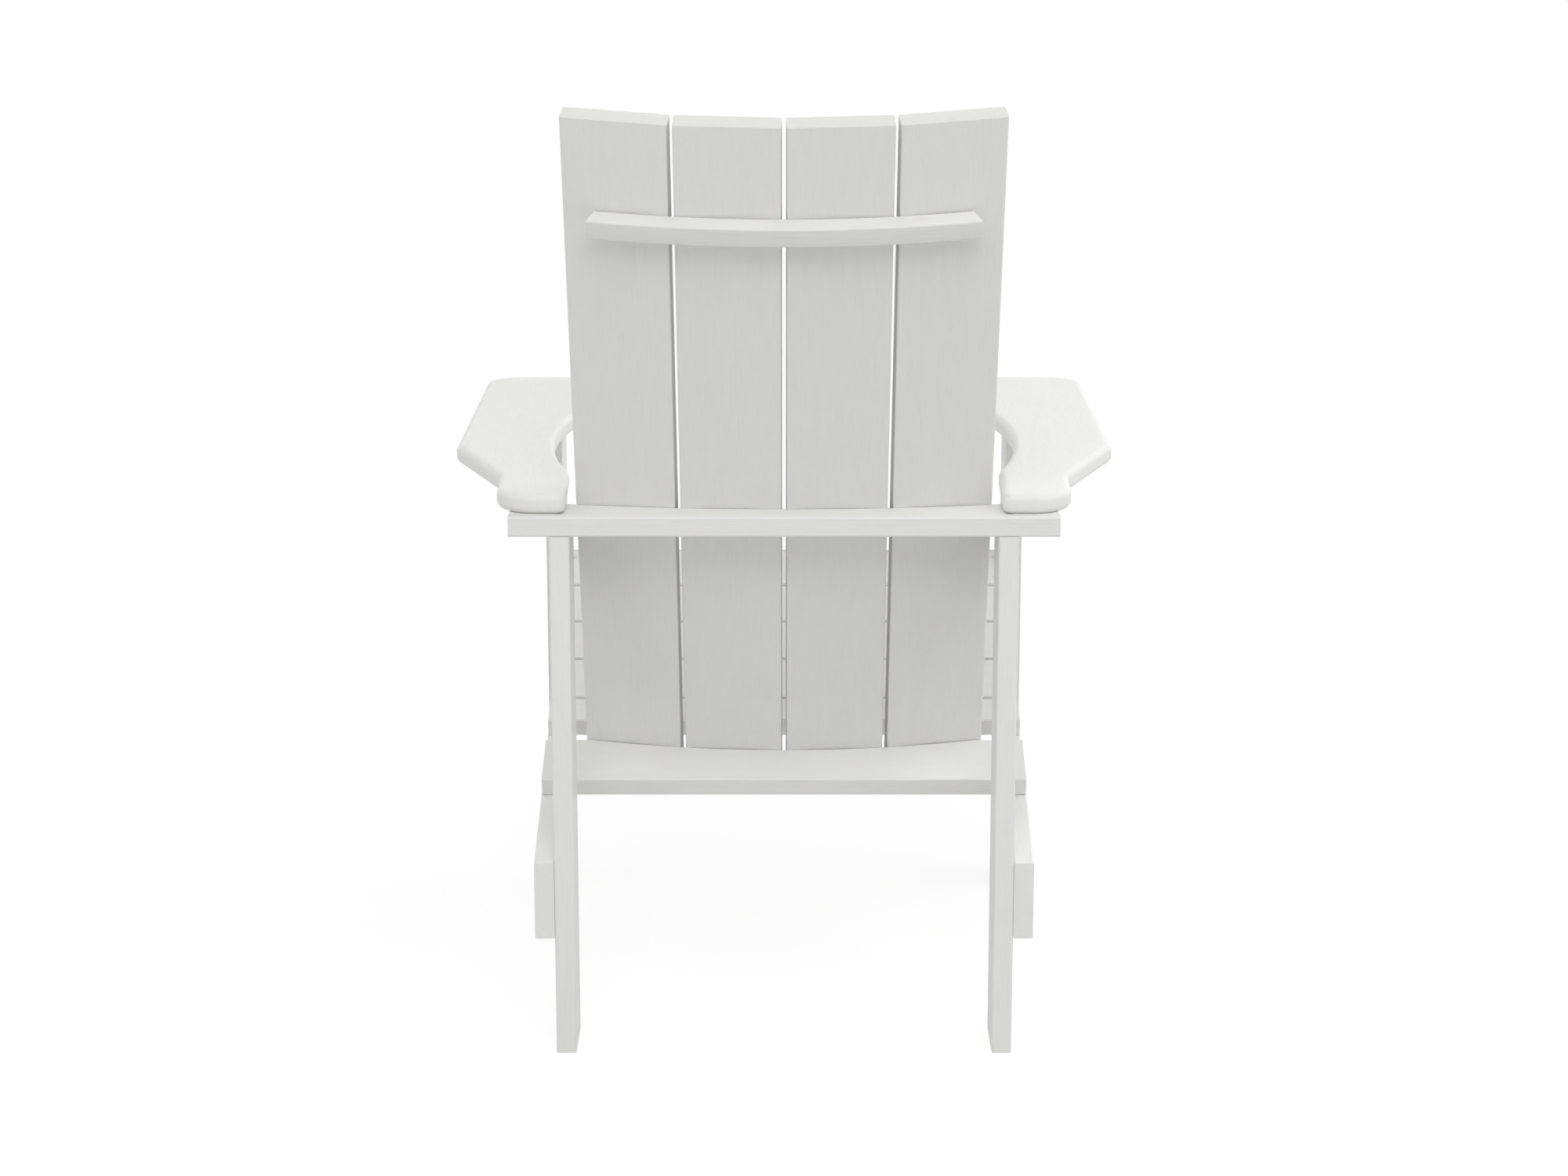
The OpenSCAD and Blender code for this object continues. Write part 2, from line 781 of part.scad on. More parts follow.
placed() {
    for (i = [1 : SLATS])
        back_slat(i);
    upper_back_brace();
    arm_rail();
    lower_back_rail();
    stringer(-1);  // left_stringer
    stringer(1);  // right_stringer
    rear_leg(-1);  // left_rear_leg
    rear_leg(1);  // right_rear_leg
    front_leg(-1);  // left_front_leg
    front_leg(1);  // right_front_leg
    arm(-1);  // left_arm
    arm(1);  // right_arm
    arm_bracket(-1);  // left_arm_bracket
    arm_bracket(1);  // right_arm_bracket
    for (i = [1 : SEAT_SLATS])
        seat_slat(i);
    nose_slat();
    front_apron();
    brace_screws();
    arm_rail_screws();
    lower_rail_screws();
    seat_screws();
    nose_screws();
    apron_screws();
    front_leg_screws();
    rear_leg_screws();
    rail_end_screws();
    arm_screws();
    bracket_screws();
    pocket_screws();
}
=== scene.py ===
"""An adirondack chair of white plastic lumber on a pale studio floor.

Metres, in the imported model's frame: the floor is z = 0 and the chair faces -Y. The boards of
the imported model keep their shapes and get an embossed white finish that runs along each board.
The arms, the bent back brace and the screws are made here as finer surfaces."""
import math
import bpy
import numpy as np
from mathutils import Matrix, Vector


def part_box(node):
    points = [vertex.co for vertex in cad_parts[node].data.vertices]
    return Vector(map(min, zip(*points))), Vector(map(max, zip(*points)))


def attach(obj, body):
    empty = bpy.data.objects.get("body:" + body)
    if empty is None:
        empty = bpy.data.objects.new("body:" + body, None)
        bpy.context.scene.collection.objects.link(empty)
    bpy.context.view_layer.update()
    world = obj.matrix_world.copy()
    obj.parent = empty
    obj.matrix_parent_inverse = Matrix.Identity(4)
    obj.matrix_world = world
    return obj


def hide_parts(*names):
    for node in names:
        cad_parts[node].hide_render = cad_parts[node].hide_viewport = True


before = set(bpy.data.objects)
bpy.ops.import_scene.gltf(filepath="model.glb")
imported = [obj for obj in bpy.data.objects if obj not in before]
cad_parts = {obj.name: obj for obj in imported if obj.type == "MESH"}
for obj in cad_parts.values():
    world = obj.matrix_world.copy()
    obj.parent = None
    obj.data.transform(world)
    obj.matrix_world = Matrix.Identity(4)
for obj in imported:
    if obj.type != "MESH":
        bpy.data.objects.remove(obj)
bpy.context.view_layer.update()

# ---- sizes of the chair: millimetres and degrees ---------------------------------------------

MM = 0.001
RECLINE = 24.0              # the back leans to the rear from upright
SEAT_PITCH = 17.0           # the seat's slope
EASED_EDGE = 2.0            # radius of a board's long edges
SAWN_ARRIS = 0.5            # radius left on a sawn end
EDGE_POINTS = 7             # points round each rounded corner of a section

ARM_WIDTH = 127.0
ARM_NECK_WIDTH = 69.0       # the narrow rear end
ARM_NECK_LENGTH = 106.0
ARM_NECK_LEAN = 4.0
ARM_FLARE = 154.0           # from the neck's end to the full width
ARM_RIM = 7.0               # radius of the pillowed edge
RIM_RINGS = 9               # rings round each half of that edge
REAR_OUTER_CORNER = 42.0    # radii of the arm's corners, seen from above
REAR_INNER_CORNER = 10.0
NECK_CORNER = 10.0
FLARE_CORNER = 15.0
FRONT_CORNER = 35.0
SCOOP_START = 128.0         # the hollow in the arm's inner edge, from the rear end
SCOOP_LENGTH = 364.0
SCOOP_DEPTH = 24.0
SCOOP_BLEND = 60.0          # radius that leads into it
SCOOP_SLACK = 3.0           # straight left between that radius and the hollow's arc
ARC_STEP = 4.5              # degrees between points on an outline's arc, and the longest step
ARC_REACH = 12.0

BACK_RADIUS = 1050.0        # the arc that the slats' rear faces stand on
RAIL_FRONT = 38.0           # from the rear legs' rear faces to that arc's middle
ARM_UNDERSIDE = 558.0
BRACE_FOOT = 315.0          # up the slats from the arms' underside
BRACE_SIZE = 20.0           # its height, and its depth behind the slats
BRACE_HALF_ANGLE = 9.74     # along the arc, from its middle to an end
BRACE_SPLAY = 12.0          # the end cuts spread to the rear
BRACE_STEPS = 64            # along the arc
ARRIS_TURNS = (90, 60, 30, 0)

SCREW_POINTS = 16           # round a screw
GOLDEN_ANGLE = 2.39996      # radians from one screw's turn to the next
CRISP_TURN = 35.0           # a screw's edges that turn by more stay crisp
RIM_WITHIN = 0.1            # a head's rim points lie this near the farthest from the tip
NEARLY_UPRIGHT = 0.9        # a screw whose direction has more rise than this


def tilted(degrees):
    """The direction that looks to the front and rises by this angle, square to the side."""
    a = math.radians(degrees)
    return np.array([0, -math.cos(a), math.sin(a)])


BACK_UP = tilted(RECLINE + 90)
BACK_FRONT = tilted(RECLINE)
SEAT_FORWARD = tilted(SEAT_PITCH)
UPRIGHT = (0.0, 0.0, 1.0)
CROSSWISE = (1.0, 0.0, 0.0)
LENGTHWISE = (0.0, 1.0, 0.0)


# ---- shader helper ---------------------------------------------------------------------------

class Shade:
    """A shader socket that can be used in expressions: numbers and other sockets combine with it
    through Math nodes."""

    def __init__(self, finish, socket):
        self.finish = finish
        self.socket = socket

    def maths(self, operation, *values):
        sockets = dict(enumerate(values))
        return self.finish.node("ShaderNodeMath", "Value", {"operation": operation}, sockets)

    def __add__(self, other):
        return self.maths("ADD", self, other)

    def __radd__(self, other):
        return self.maths("ADD", other, self)

    def __sub__(self, other):
        return self.maths("SUBTRACT", self, other)

    def __rsub__(self, other):
        return self.maths("SUBTRACT", other, self)

    def __mul__(self, other):
        return self.maths("MULTIPLY", self, other)

    def __rmul__(self, other):
        return self.maths("MULTIPLY", other, self)

    def __abs__(self):
        return self.maths("ABSOLUTE", self)

    def larger(self, other):
        return self.maths("MAXIMUM", self, other)


class Finish:
    """A node tree under construction, for a material or for the world."""

    def __init__(self, owner):
        owner.use_nodes = True
        self.owner = owner
        self.nodes = owner.node_tree.nodes
        self.links = owner.node_tree.links
        self.shader = self.nodes.get("Principled BSDF")

    def node(self, kind, output, settings=None, inputs=None):
        """Adds a node: its settings are set first, then its sockets get values or links."""
        made = self.nodes.new(kind)
        for key, value in (settings or {}).items():
            setattr(made, key, value)
        for key, value in (inputs or {}).items():
            self.feed(made.inputs[key], value)
        return Shade(self, made.outputs[output])

    def feed(self, socket, value):
        """Links another socket to this one, or sets it to a number, a vector or a colour."""
        if isinstance(value, Shade):
            self.links.new(value.socket, socket)
        else:
            socket.default_value = value

    def set(self, **sockets):
        """Sets or links the main shader's sockets; Base_Color stands for Base Color."""
        for key, value in sockets.items():
            self.feed(self.shader.inputs[key.replace("_", " ")], value)

    def place(self):
        return self.node("ShaderNodeTexCoord", "Object")

    def vector(self, operation, output, *values):
        sockets = dict(enumerate(values))
        return self.node("ShaderNodeVectorMath", output, {"operation": operation}, sockets)

    def scaled(self, direction, by):
        """A fixed direction times a number that changes over the surface."""
        return self.node("ShaderNodeVectorMath", "Vector", {"operation": "SCALE"},
                         {"Vector": tuple(direction), "Scale": by})

    def colour(self, red, green, blue):
        return self.node("ShaderNodeCombineColor", "Color", {},
                         {"Red": red, "Green": green, "Blue": blue})

    def noise(self, place, scale, detail=2.0, roughness=0.5):
        sockets = {"Vector": place, "Scale": scale, "Detail": detail, "Roughness": roughness}
        return self.node("ShaderNodeTexNoise", "Fac", {}, sockets)

    def bump(self, height, strength, depth):
        return self.node("ShaderNodeBump", "Normal", {},
                         {"Height": height, "Strength": strength, "Distance": depth})

    def drawn_out(self, place, along, cells, stretch):
        """Coordinates in which a pattern has that many cells a metre across the board, and is
        stretched along it: place * cells, less the share of it that runs along the board."""
        run = self.vector("DOT_PRODUCT", "Value", place, tuple(along))
        less = self.scaled(along, run * (cells / stretch - cells))
        return self.vector("MULTIPLY_ADD", "Vector", place, (cells, cells, cells), less)

    def eased(self, value, low, high):
        """0 below low, 1 above high, and a smooth step between them."""
        return self.node("ShaderNodeMapRange", "Result", {"interpolation_type": "SMOOTHSTEP"},
                         {"Value": value, "From Min": low, "From Max": high})

    def seen_directly(self):
        """1 for camera, mirror and glass rays, 0 for the light that falls on things."""
        path = self.nodes.new("ShaderNodeLightPath")
        camera = Shade(self, path.outputs["Is Camera Ray"])
        mirror = Shade(self, path.outputs["Is Glossy Ray"])
        glass = Shade(self, path.outputs["Is Transmission Ray"])
        return camera.larger(mirror.larger(glass))


# ---- camera ----------------------------------------------------------------------------------

CAMERA_PLACE = (0.0, 3.5785, 1.268)
CAMERA_AIM = (0.0, 0.2785, 0.4867)
CAMERA_LENS = 78.95         # millimetres, as is the sensor
SENSOR_WIDTH = 36.0


def faced(at, aim):
    """The turn that points a camera or a lamp from one point to another."""
    return (Vector(aim) - Vector(at)).to_track_quat("-Z", "Y").to_euler()


def set_camera(at, aim, lens):
    data = bpy.data.cameras.new("studio_camera")
    data.sensor_width = SENSOR_WIDTH
    data.lens = lens
    camera = bpy.data.objects.new("studio_camera", data)
    bpy.context.collection.objects.link(camera)
    camera.location = at
    camera.rotation_euler = faced(at, aim)
    bpy.context.scene.camera = camera


# ---- finishes --------------------------------------------------------------------------------

# The boards' patterns: cells a metre across the board, and how much longer they are along it
GRAIN = (620.0, 22.0)       # the embossed grooves
FIBRE = (1700.0, 30.0)      # the fine threads in and between them
STREAK = (70.0, 14.0)       # broad streaks in the colour
CLOUD = 9.0                 # patches in the colour, cells a metre
SKIN = 2400.0               # pores of the moulded skin
GROOVE_WALL = (0.34, 0.52)  # the grain's noise from the bottom of a groove to its shoulder
SAWN_EDGE = (0.80, 0.95)    # how squarely a face looks along the board before it counts as sawn
GRAIN_RELIEF = 0.42         # the bump's strength
GRAIN_DEPTH = 0.0004        # and its depth in metres
ARM_WHITE = 0.860
ARM_RELIEF = 0.4
# the brace's white is darker than the other boards': painted shade
BRACE_SHADED_WHITE = 0.79
BRACE_RELIEF = 1.3


def white_lumber(name, along, whiteness, relief=1.0, bowed=False, sawn_and_shade=0.0):
    """White plastic lumber: an embossed grain of fine grooves drawn out along the board, broad
    faint streaks in its colour, and a satin sheen that the grain breaks up. The crests between
    the grooves are a little smoother, and paler than the grooves' bottoms, which carry a little
    painted shade. A face that looks along the board is a sawn end, and the share given makes it
    duller and darker; on the slats' tops, which face up to the light, that darkening is painted
    shade. A bowed board's grain follows the arc of the back: each point is moved back by
    x * x / (2 * radius), the rise of the arc."""
    finish = Finish(bpy.data.materials.new("white_lumber_" + name))
    place = finish.place()
    if bowed:
        x = finish.vector("DOT_PRODUCT", "Value", place, CROSSWISE)
        rise = finish.scaled(BACK_FRONT, x * x * (0.5 / (BACK_RADIUS * MM)))
        place = finish.vector("SUBTRACT", "Vector", place, rise)
    grain = finish.noise(finish.drawn_out(place, along, *GRAIN), 1.0, detail=3.0, roughness=0.55)
    fibre = finish.noise(finish.drawn_out(place, along, *FIBRE), 1.0)
    streak = finish.noise(finish.drawn_out(place, along, *STREAK), 1.0)
    cloud = finish.noise(place, CLOUD)
    skin = finish.noise(place, SKIN, detail=1.0)
    crest = finish.eased(grain, *GROOVE_WALL)
    # the crests are paler than the grooves' bottoms: painted shade in the grooves
    shade = whiteness * (0.962 + 0.016 * crest + 0.028 * streak + 0.022 * cloud)
    dullness = 0.56 - 0.12 * crest + 0.08 * streak
    if sawn_and_shade:
        facing = finish.node("ShaderNodeNewGeometry", "Normal")
        along_it = abs(finish.vector("DOT_PRODUCT", "Value", facing, tuple(along)))
        end = finish.eased(along_it, *SAWN_EDGE) * sawn_and_shade
        # sawn ends darker; on the slats' tops, which face up to the light, this is painted shade
        shade = shade * (1 - end)
        dullness = dullness + end
    height = crest * 0.62 + fibre * 0.26 + skin * 0.12
    finish.set(Base_Color=finish.colour(shade, shade * 0.997, shade * 0.978),
               Roughness=dullness, IOR=1.5,
               Normal=finish.bump(height, GRAIN_RELIEF * relief, GRAIN_DEPTH))
    return finish.owner


ORANGE_PEEL = 1900.0        # the enamel's bumps, cells a metre
PEEL_RELIEF = 0.2
PEEL_DEPTH = 0.0002
WEAR = 700.0                # its worn places, cells a metre
WORN_EDGE = (0.60, 0.72)    # the wear's noise where the enamel is whole and where it is worn


def painted_head(name):
    """The screws' baked enamel: the boards' white with fine orange peel, a little worn and
    darker in scattered places."""
    finish = Finish(bpy.data.materials.new(name))
    place = finish.place()
    peel = finish.noise(place, ORANGE_PEEL)
    wear = finish.eased(finish.noise(place, WEAR, detail=3.0, roughness=0.6), *WORN_EDGE)
    shade = 0.77 - 0.10 * wear
    finish.set(Base_Color=finish.colour(shade, shade, shade * 0.985),
               Roughness=0.30 + 0.15 * wear,
               Normal=finish.bump(peel, PEEL_RELIEF, PEEL_DEPTH))
    return finish.owner


FLOOR_GREY = 0.75           # the plain floor that the chair's light meets
SHADOW_GREY = 0.25          # near the chair, seen directly: the part that takes shadow,
SHADOW_GLOW = 0.82          # and the glow that brings it up to white where nothing shades it
SHADOW_FADE = (1.1, 2.2)    # metres from the chair's middle over which the shadow fades out


def studio_ground(name):
    """A pale floor. To the light that falls on the chair it is a plain pale floor. Seen directly
    it is white with a faint shadow round the chair: near it, a little grey that takes the light
    and a glow, and beyond it only the glow."""
    finish = Finish(bpy.data.materials.new(name))
    seen = finish.seen_directly()
    away = finish.eased(finish.vector("LENGTH", "Value", finish.place()), *SHADOW_FADE)
    level = FLOOR_GREY + seen * ((1 - away) * SHADOW_GREY - FLOOR_GREY)
    glow = seen * (SHADOW_GLOW + away * (1.0 - SHADOW_GLOW))
    finish.set(Base_Color=finish.colour(level, level, level),
               Emission_Color=finish.colour(glow, glow, glow),
               Emission_Strength=1.0, Roughness=0.95, Specular_IOR_Level=0.0)
    return finish.owner


# ---- surfaces --------------------------------------------------------------------------------

def closed_skin(name, grids, material, replaces):
    """Skins closed bodies. grids holds, for each body, rings of points that run from one end to
    the other; neighbouring rings are joined by four-sided faces and the first and last ring are
    closed by one face each. Where a body's signed volume comes out negative, its faces turn."""
    grids = np.asarray(grids, float)
    bodies, rings, around, _ = grids.shape
    ids = np.arange(rings * around).reshape(rings, around)
    ahead = np.roll(ids, -1, 1)
    walls = np.stack([ids[:-1], ahead[:-1], ahead[1:], ids[1:]], -1).reshape(-1, 4)
    centre = grids.reshape(bodies, -1, 3).mean(1)
    spots = grids.reshape(bodies, -1, 3) - centre[:, None]
    a, b, c, d = (spots[:, walls[:, k]] for k in range(4))
    volume = (np.cross(b - a, d - a) * (a + b + c + d)).sum((1, 2))
    faces = []
    for body in range(bodies):
        mine = [walls, ids[:1, ::-1], ids[-1:]]
        if volume[body] < 0:
            mine = [face[:, ::-1] for face in mine]
        for face in mine:
            faces += (face + body * rings * around).tolist()
    mesh = bpy.data.meshes.new(name)
    mesh.from_pydata(grids.reshape(-1, 3).tolist(), [], faces)
    mesh.shade_smooth()
    piece = bpy.data.objects.new(name, mesh)
    bpy.context.collection.objects.link(piece)
    mesh.materials.append(material)
    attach(piece, "root")
    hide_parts(replaces)
    return piece


def rounded_outline(corners):
    """Around a closed outline of corners [x, y, radius]: each corner's arc touches both of its
    sides. Its centre is set back along the side before it by radius * tan(turn / 2), and stands
    off that side by the radius. Gives every point's centre, signed radius and heading."""
    at, radius = corners[:, :2], corners[:, 2]
    to_next = np.roll(at, -1, 0) - at
    leaving = np.arctan2(to_next[:, 1], to_next[:, 0])
    coming = np.roll(leaving, 1)
    bend = (leaving - coming + np.pi) % (2 * np.pi) - np.pi
    reach = np.sign(bend) * radius
    ahead = np.stack([np.cos(coming), np.sin(coming)], 1)
    left = np.stack([-np.sin(coming), np.cos(coming)], 1)
    centre = at - (radius * np.tan(np.abs(bend) / 2))[:, None] * ahead + reach[:, None] * left
    by_turn = np.abs(bend) / math.radians(ARC_STEP)
    by_reach = np.abs(bend) * radius / ARC_REACH
    steps = np.maximum(by_turn, by_reach).astype(int) + 2
    which = np.repeat(np.arange(len(at)), steps + 1)
    share = np.concatenate([np.linspace(0, 1, n + 1) for n in steps])
    return centre[which], reach[which], coming[which] + bend[which] * share


def arm_board(name, node, side):
    """An arm: a flat board with a pillowed rim. Ring by ring the outline is moved inwards by
    rim * (1 - cos a), at rim * sin a from the rim's straight middle, for a from -90 to 90
    degrees; one more ring lies flat inside the rim, above and below. The outline is drawn with
    x outwards from the chair's middle and y forwards from the arm's rear end."""
    low, high = (np.array(corner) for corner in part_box(node))
    length = (high[1] - low[1]) / MM
    outer = max(abs(low[0]), abs(high[0])) / MM
    neck = min(abs(low[0]), abs(high[0])) / MM
    inner = outer - ARM_WIDTH
    turn = 2 * math.atan(2 * SCOOP_DEPTH / SCOOP_LENGTH)
    deepest = SCOOP_LENGTH / 2 * math.tan(turn)
    spare = SCOOP_BLEND * math.tan(turn / 2) + SCOOP_SLACK
    scoop_radius = (SCOOP_LENGTH / 2 / math.cos(turn) - spare) / math.tan(turn)
    corners = np.array([
        [neck + ARM_NECK_WIDTH, 0, REAR_OUTER_CORNER],
        [neck + ARM_NECK_WIDTH + ARM_NECK_LEAN, ARM_NECK_LENGTH, NECK_CORNER],
        [outer, ARM_NECK_LENGTH + ARM_FLARE, FLARE_CORNER],
        [outer, length, FRONT_CORNER],
        [inner, length, FRONT_CORNER],
        [inner, SCOOP_START + SCOOP_LENGTH, SCOOP_BLEND],
        [inner + deepest, SCOOP_START + SCOOP_LENGTH / 2, scoop_radius],
        [inner, SCOOP_START, SCOOP_BLEND],
        [neck, 0, REAR_INNER_CORNER],
    ])
    centre, reach, heading = rounded_outline(corners)
    thick = (high[2] - low[2]) / MM
    a = np.radians(np.linspace(0, 90, RIM_RINGS))
    inwards = ARM_RIM * (1 - np.cos(a))
    lower = np.stack([inwards, ARM_RIM - ARM_RIM * np.sin(a)], 1)[::-1]
    upper = np.stack([inwards, thick - ARM_RIM + ARM_RIM * np.sin(a)], 1)
    rings = np.concatenate([[[ARM_RIM + 1, 0]], lower, upper, [[ARM_RIM + 1, thick]]])
    arm = reach[None, :] - rings[:, :1]
    x = centre[None, :, 0] + arm * np.sin(heading)
    y = centre[None, :, 1] - arm * np.cos(heading)
    z = np.broadcast_to(rings[:, 1:], x.shape)
    grid = np.stack([side * x * MM, high[1] - y * MM, low[2] + z * MM], -1)
    finish = white_lumber(name, LENGTHWISE, ARM_WHITE, ARM_RELIEF)
    return closed_skin(name, [grid], finish, node)


def eased_section(width, height, radius):
    """Round a rectangle with rounded corners: for each point the corner's centre and the
    direction that the point faces, so that centre + radius * direction lies on the outline."""
    quarter = np.repeat([0, 1, 2, 3], EDGE_POINTS)
    a = np.radians(np.tile(np.linspace(0, 90, EDGE_POINTS), 4) + 90 * quarter)
    corner = np.stack([np.array([1, -1, -1, 1])[quarter] * (width / 2 - radius),
                       np.array([1, 1, -1, -1])[quarter] * (height / 2 - radius)], 1)
    facing = np.stack([np.cos(a), np.sin(a)], 1)
    return corner, facing


def bent_brace(name, node):
    """The upper brace: an eased square section carried along the arc of the back, with rings at
    shares from -1 to 1 of the way from the middle to the ends. A point that lies e behind the
    slats ends at the angle half + atan(e * tan(splay) / (radius + e)), so the end cuts spread to
    the rear. Round each end's arris, for a from 90 to 0 degrees, the section is taken in by
    arris * (1 - cos a) at arris * (1 - sin a) from the end, and one more ring lies flat inside
    the end."""
    corner, facing = eased_section(BRACE_SIZE, BRACE_SIZE, EASED_EDGE)
    a = np.radians(ARRIS_TURNS)
    end_in = np.concatenate([[SAWN_ARRIS + 1], SAWN_ARRIS * (1 - np.cos(a))])
    end_short = np.concatenate([[0], SAWN_ARRIS * (1 - np.sin(a))])
    end_reach = np.ones(len(end_in))
    between = np.linspace(-1, 1, BRACE_STEPS + 1)[1:-1]
    plain = np.zeros(len(between))
    reach = np.concatenate([-end_reach, between, end_reach])
    ring_in = np.concatenate([end_in, plain, end_in[::-1]])
    ring_short = np.concatenate([end_short, plain, end_short[::-1]])
    section = corner[None] + facing[None] * (EASED_EDGE - ring_in)[:, None, None]
    behind = section[..., 0] + BRACE_SIZE / 2
    up = section[..., 1] + BRACE_FOOT + BRACE_SIZE / 2
    half = math.radians(BRACE_HALF_ANGLE) + np.arctan(
        behind * math.tan(math.radians(BRACE_SPLAY)) / (BACK_RADIUS + behind))
    angle = reach[:, None] * (half - ring_short[:, None] / BACK_RADIUS)
    x = (BACK_RADIUS + behind) * np.sin(angle)
    front = BACK_RADIUS - (BACK_RADIUS + behind) * np.cos(angle)
    rear_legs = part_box("left_rear_leg")[1][1] / MM
    foot = np.array([0, rear_legs - RAIL_FRONT, ARM_UNDERSIDE])
    sideways = x[..., None] * np.array(CROSSWISE)
    grid = foot + sideways + front[..., None] * BACK_FRONT + up[..., None] * BACK_UP
    finish = white_lumber(name, CROSSWISE, BRACE_SHADED_WHITE, BRACE_RELIEF, bowed=True)
    return closed_skin(name, [grid * MM], finish, node)


# A screw's rings from the bottom of its drive recess to its tip: radius, depth below the head's
# face, and how square the ring is. Negative depths count back from the tip.
SCREW_RINGS = np.array([
    [0.60, 1.90, 0], [1.15, 1.90, 1], [1.30, 0.25, 1], [1.50, 0.00, 1],     # the recess
    [4.30, 0.00, 0], [4.50, 0.12, 0], [4.44, 0.35, 0], [2.25, 2.40, 0],     # the head
    [2.25, -4.50, 0], [0.25, -0.10, 0],                                     # the shank and tip
])


def screw_places(node):
    """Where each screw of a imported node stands. Corners that share a triangle belong to one
    screw: each takes the lowest number among its triangles' corners until none changes. Its tip
    is the point farthest from its middle, and its head's rim the points farthest from its tip."""
    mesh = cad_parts[node].data
    spots = np.empty(len(mesh.vertices) * 3)
    mesh.vertices.foreach_get("co", spots)
    loops = np.empty(len(mesh.loops), np.int64)
    mesh.loops.foreach_get("vertex_index", loops)
    spots, weld = np.unique(spots.reshape(-1, 3).round(6), axis=0, return_inverse=True)
    corners = weld.reshape(-1)[loops].reshape(-1, 3)
    screw = np.arange(len(spots))
    while True:
        lowest = screw.copy()
        np.minimum.at(lowest, corners.ravel(), np.repeat(screw[corners].min(1), 3))
        if (lowest == screw).all():
            break
        screw = lowest
    places = []
    for number in np.unique(screw):
        mine = spots[screw == number]
        tip = mine[np.argmax(np.linalg.norm(mine - mine.mean(0), axis=1))]
        away = np.linalg.norm(mine - tip, axis=1)
        rim = mine[away > away.max() - RIM_WITHIN * MM]
        places.append([(rim.min(0) + rim.max(0)) / 2, tip])
    return np.array(places)


def driven_screws(name, node, material):
    """All the screws of a node. Each ring of a screw is a circle blended with a square, whose
    radius at angle a is side / max(|cos a|, |sin a|), and every screw is turned by its own step
    of the golden angle."""
    places = screw_places(node)
    head, tip = places[:, 0], places[:, 1]
    length = np.linalg.norm(tip - head, axis=1)
    down = (tip - head) / length[:, None]
    guide = np.where(np.abs(down[:, 2:]) > NEARLY_UPRIGHT, CROSSWISE, UPRIGHT)
    across = np.cross(down, guide)
    across /= np.linalg.norm(across, axis=1)[:, None]
    beside = np.cross(down, across)
    a = np.arange(SCREW_POINTS) * 2 * np.pi / SCREW_POINTS
    radius, depth, square = SCREW_RINGS.T
    blend = 1 + square[:, None] * (1 / np.maximum(np.abs(np.cos(a)), np.abs(np.sin(a))) - 1)
    ring = radius[:, None] * blend * MM
    turn = a + GOLDEN_ANGLE * np.arange(len(places))[:, None]
    deep = np.where(depth < 0, length[:, None] + depth * MM, depth * MM)
    grid = (head[:, None, None] + deep[:, :, None, None] * down[:, None, None]
            + (ring * np.cos(turn)[:, None])[..., None] * across[:, None, None]
            + (ring * np.sin(turn)[:, None])[..., None] * beside[:, None, None])
    piece = closed_skin(name, grid, material, node)
    piece.data.set_sharp_from_angle(angle=math.radians(CRISP_TURN))
    return piece


# ---- studio ----------------------------------------------------------------------------------

FLOOR_HALF = 14.0           # metres from the middle to an edge
SKY = 0.18                  # the even light from all round
CHAIR_MIDDLE = (0.0, 0.0, 0.45)
# Each lamp: name, the way to it from the chair's middle, how far away, its width, its power
LAMPS = [
    ("rear_lamp", (0.0, 0.70, 0.70), 3.6, 2.2, 47.0),
    ("low_rear_right_lamp", (-0.66, 0.66, 0.34), 3.6, 2.2, 13.0),
    ("low_rear_left_lamp", (0.66, 0.66, 0.34), 3.6, 2.2, 14.0),
    ("right_lamp", (-0.80, 0.0, 0.60), 5.0, 4.4, 98.0),
    ("left_lamp", (0.80, 0.0, 0.60), 5.0, 4.4, 51.0),
    ("front_right_lamp", (-0.50, -0.80, 0.50), 5.0, 4.4, 56.0),
    ("front_left_lamp", (0.50, -0.80, 0.50), 5.0, 4.4, 24.0),
]


def lay_floor(half):
    corners = [(-half, -half, 0), (half, -half, 0), (half, half, 0), (-half, half, 0)]
    mesh = bpy.data.meshes.new("studio_floor")
    mesh.from_pydata(corners, [], [(0, 1, 2, 3)])
    floor = bpy.data.objects.new("studio_floor", mesh)
    bpy.context.collection.objects.link(floor)
    mesh.materials.append(studio_ground("studio_ground"))


def hang_lamp(name, aim, towards, distance, size, power):
    """A square lamp that shines at aim. It lights the chair and shows in its sheen, but isn't
    itself in view."""
    data = bpy.data.lights.new(name, "AREA")
    data.shape = "SQUARE"
    data.size = size
    data.energy = power
    lamp = bpy.data.objects.new(name, data)
    bpy.context.collection.objects.link(lamp)
    lamp.location = Vector(aim) + Vector(towards).normalized() * distance
    lamp.rotation_euler = faced(lamp.location, aim)
    lamp.visible_camera = False


def light_studio(sky):
    """Soft light from all round and broad lamps. Seen directly the surroundings are white."""
    world = bpy.data.worlds.new("studio")
    bpy.context.scene.world = world
    finish = Finish(world)
    background = finish.nodes["Background"]
    background.inputs["Color"].default_value = (1.0, 1.0, 1.0, 1.0)
    finish.feed(background.inputs["Strength"], sky + finish.seen_directly() * (1.0 - sky))
    for name, towards, distance, size, power in LAMPS:
        hang_lamp(name, CHAIR_MIDDLE, towards, distance, size, power)


# ---- the chair -------------------------------------------------------------------------------

SAWN_AND_SHADED_TOP = 0.07             # how much darker and duller the slats' sawn ends are, the darkening on their up-facing tops being painted shade; the other boards' sawn ends, and the stringers', which are as smooth as their faces
SAWN_END = 0.03             # the other boards' sawn ends,
EVEN_END = 0.0              # and the stringers', which are as smooth as their faces
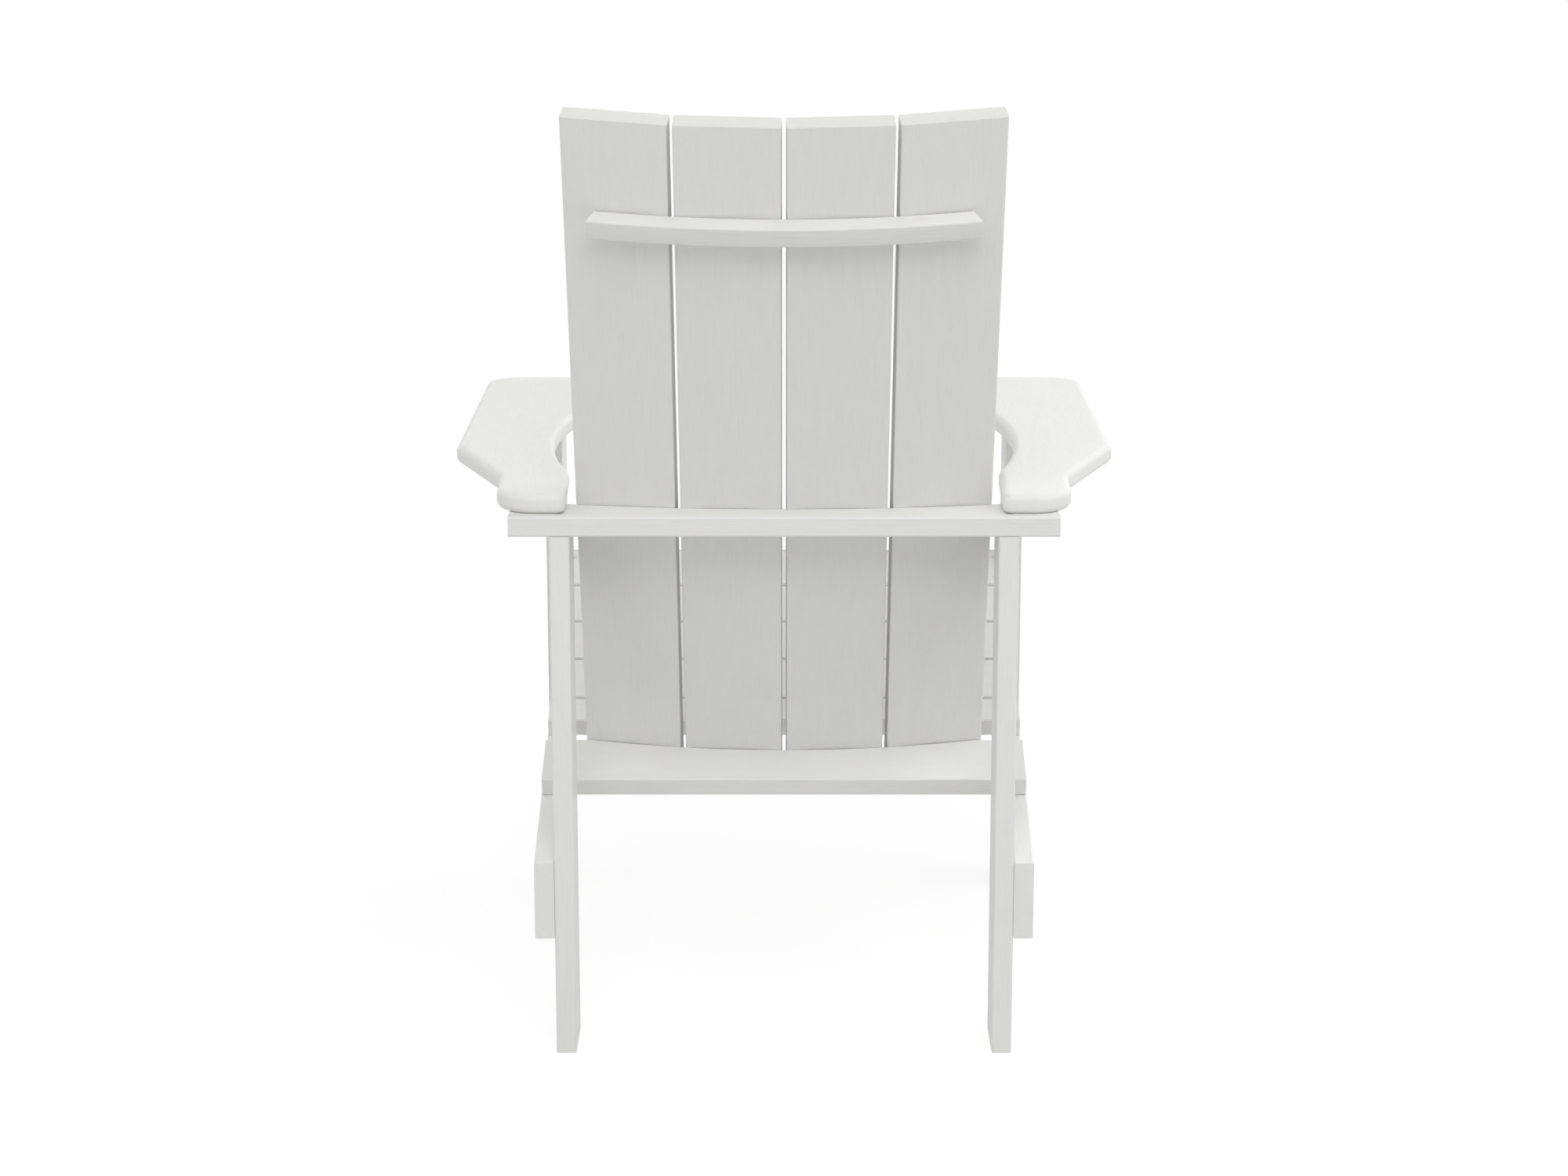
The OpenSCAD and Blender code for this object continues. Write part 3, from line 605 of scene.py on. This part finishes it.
# Each board: the way its grain runs, its whiteness, its ends
BOARDS = {
    "back_slat_1": (BACK_UP, 0.832, SAWN_AND_SHADED_TOP),
    "back_slat_2": (BACK_UP, 0.824, SAWN_AND_SHADED_TOP),
    "back_slat_3": (BACK_UP, 0.818, SAWN_AND_SHADED_TOP),
    "back_slat_4": (BACK_UP, 0.821, SAWN_AND_SHADED_TOP),
    "arm_rail": (CROSSWISE, 0.832, SAWN_END),
    "lower_back_rail": (CROSSWISE, 0.852, SAWN_END),
    "left_stringer": (SEAT_FORWARD, 0.864, EVEN_END),
    "right_stringer": (SEAT_FORWARD, 0.856, EVEN_END),
    "left_rear_leg": (UPRIGHT, 0.866, SAWN_END),
    "right_rear_leg": (UPRIGHT, 0.860, SAWN_END),
    "left_front_leg": (UPRIGHT, 0.864, SAWN_END),
    "right_front_leg": (UPRIGHT, 0.856, SAWN_END),
    "left_arm_bracket": (UPRIGHT, 0.850, SAWN_END),
    "right_arm_bracket": (UPRIGHT, 0.846, SAWN_END),
    "seat_slat_1": (CROSSWISE, 0.858, SAWN_END),
    "seat_slat_2": (CROSSWISE, 0.862, SAWN_END),
    "seat_slat_3": (CROSSWISE, 0.853, SAWN_END),
    "seat_slat_4": (CROSSWISE, 0.860, SAWN_END),
    "seat_slat_5": (CROSSWISE, 0.856, SAWN_END),
    "nose_slat": (CROSSWISE, 0.852, SAWN_END),
    "front_apron": (CROSSWISE, 0.848, SAWN_END),
}
SCREWS = [
    "brace_screws", "arm_rail_screws", "lower_rail_screws", "seat_screws", "nose_screws",
    "apron_screws", "front_leg_screws", "rear_leg_screws", "rail_end_screws", "arm_screws",
    "bracket_screws", "pocket_screws",
]


def dress_boards():
    """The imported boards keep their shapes; each gets its own white, with its grain lengthwise."""
    for name, (along, whiteness, sawn_and_shade) in BOARDS.items():
        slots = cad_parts[name].data.materials
        slots.clear()
        slots.append(white_lumber(name, along, whiteness, sawn_and_shade=sawn_and_shade))


set_camera(CAMERA_PLACE, CAMERA_AIM, CAMERA_LENS)
lay_floor(FLOOR_HALF)
light_studio(SKY)
bpy.context.scene.view_settings.view_transform = "Standard"

dress_boards()
arm_board("left_arm_board", "left_arm", 1)
arm_board("right_arm_board", "right_arm", -1)
bent_brace("bent_back_brace", "upper_back_brace")
enamel = painted_head("white_enamel")
for group in SCREWS:
    driven_screws("driven_" + group, group, enamel)
